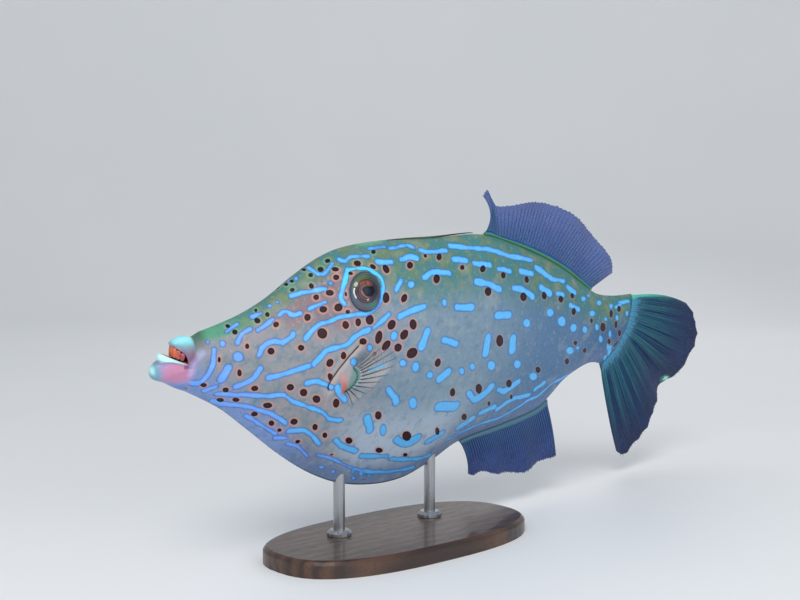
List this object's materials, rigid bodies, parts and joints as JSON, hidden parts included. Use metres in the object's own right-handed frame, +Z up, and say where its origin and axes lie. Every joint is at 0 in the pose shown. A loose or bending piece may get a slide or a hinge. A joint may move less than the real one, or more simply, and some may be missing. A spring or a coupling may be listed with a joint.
{
  "type": "scrawled filefish",
  "caption": "still, life-size model of a slim deep-bodied reef fish with small upturned mouth, folded back spine and long drooping tail fin, on a flat oval base with two short rods",
  "frame": {"origin": "centre of the flat underside of the stand's base", "axes": "+Z up from the floor, the fish's head points to -X and its tail to +X, its left side faces -Y"},
  "size_m": [0.6101, 0.11, 0.2591],
  "materials": {
    "skin": "olive and grey-beige cast skin with blue scrawls and dark spots, satin",
    "lip": "pale pink and whitish lips, satin",
    "teeth": "orange-stained teeth, moist",
    "eye": "dark glossy eye",
    "spine": "dull olive",
    "fin": "dark blue-grey ribbed fin",
    "pectoral": "pale ribbed fin",
    "stand_wood": "dark stained wood, satin",
    "stand_steel": "satin steel"
  },
  "bodies": {
    "root": {"head": "skin", "trunk": "skin", "tail_stalk": "skin", "upper_lip": "lip", "lower_jaw": "lip", "upper_teeth": "teeth", "eye_left": "eye", "eye_right": "eye", "dorsal_spine": "spine", "soft_dorsal_fin": "fin", "anal_fin": "fin", "caudal_fin": "fin", "pectoral_fin_left": "pectoral", "pectoral_fin_right": "pectoral", "stand_base": "stand_wood", "stand_rod_front": "stand_steel", "stand_rod_rear": "stand_steel"}
  },
  "joints": []
}
